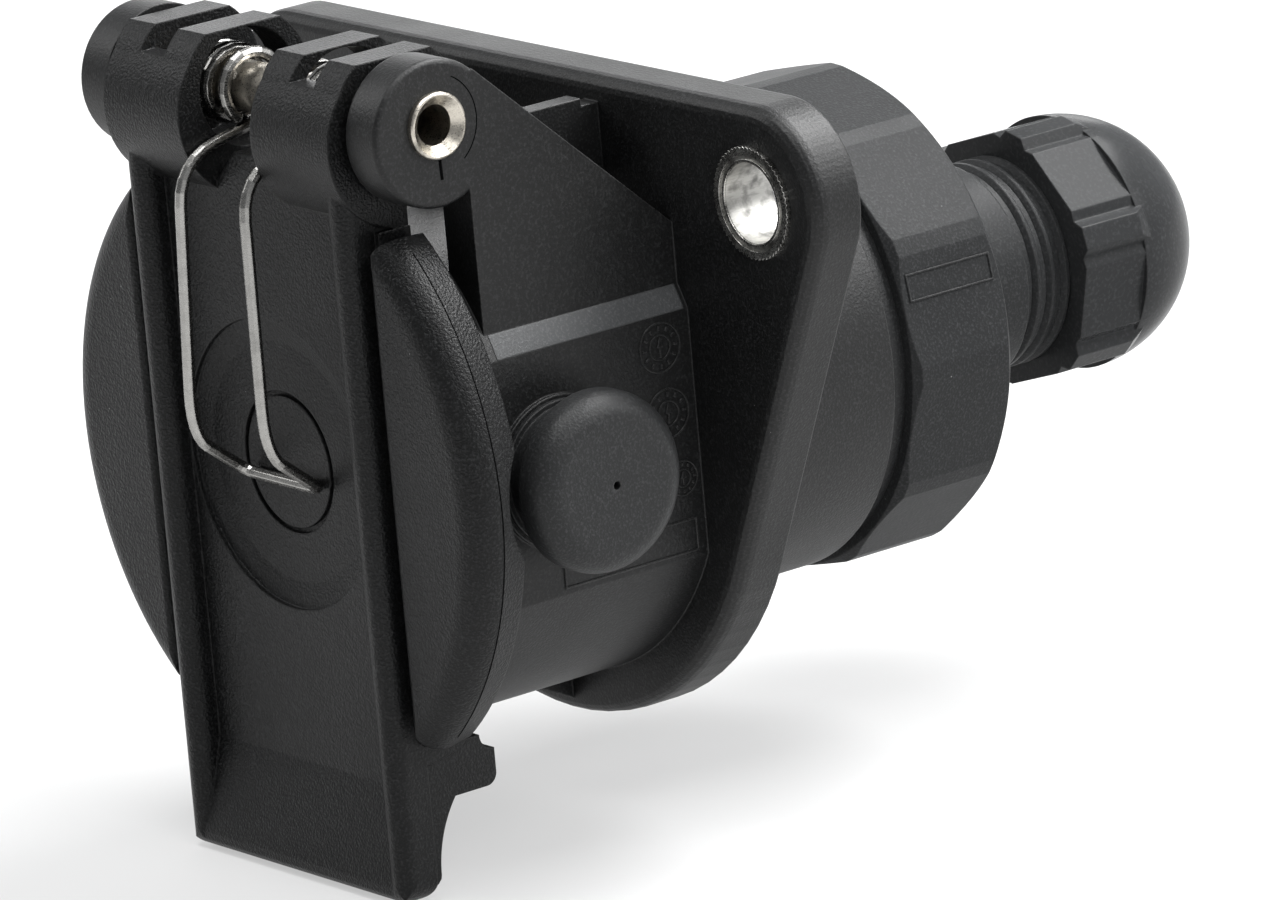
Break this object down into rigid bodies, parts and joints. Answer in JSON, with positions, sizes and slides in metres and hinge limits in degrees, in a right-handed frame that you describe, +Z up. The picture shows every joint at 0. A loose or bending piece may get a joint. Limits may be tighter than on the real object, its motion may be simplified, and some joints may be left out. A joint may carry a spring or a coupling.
{
  "type": "trailer socket",
  "caption": "Flanged trailer socket with a sprung hinged lid, contact pins, a side plug and a twelve-sided rear cap that carries a domed cable gland.",
  "frame": {"origin": "on the socket axis, in the plane of the flange's flat back face", "axes": "+Y along the socket axis from the lid towards the cable gland, +Z up towards the lid's hinge, +X to the side plug"},
  "size_m": [0.099, 0.1248, 0.0891],
  "materials": {
    "housing_plastic": "fine spark-eroded satin",
    "lid_plastic": "spark-eroded satin",
    "cap_plastic": "grainy satin",
    "nut_plastic": "smooth satin",
    "carrier_plastic": "satin",
    "rubber": "matte",
    "spring_wire": "drawn stainless wire",
    "plated_steel": "bright nickel plate",
    "contact_brass": "machined"
  },
  "bodies": {
    "base": {"socket_housing": "housing_plastic", "mounting_bush_left": "plated_steel", "mounting_bush_right": "plated_steel", "hinge_pin": "plated_steel", "side_plug": "rubber", "contact_carrier": "carrier_plastic", "contact_pin_1": "contact_brass", "contact_pin_2": "contact_brass", "contact_pin_3": "contact_brass", "contact_pin_4": "contact_brass", "contact_pin_5": "contact_brass", "contact_pin_6": "contact_brass", "contact_pin_7": "contact_brass", "spring_coil_left": "spring_wire", "spring_coil_right": "spring_wire", "cap_seal": "rubber", "rear_cap": "cap_plastic", "gland_seal": "rubber", "gland_collet": "carrier_plastic", "gland_nut": "nut_plastic"},
    "lid": {"lid": "lid_plastic", "lid_seal": "rubber", "spring_bail": "spring_wire"}
  },
  "joints": [
    {"name": "lid_hinge", "type": "hinge", "parent": "base", "child": "lid", "pos_m": [0, -0.0346, 0.0384], "axis": [-1, 0, 0], "range_deg": [0, 110], "stiffness_Nm_per_rad": 0.08, "springref_deg": -85.94}
  ]
}
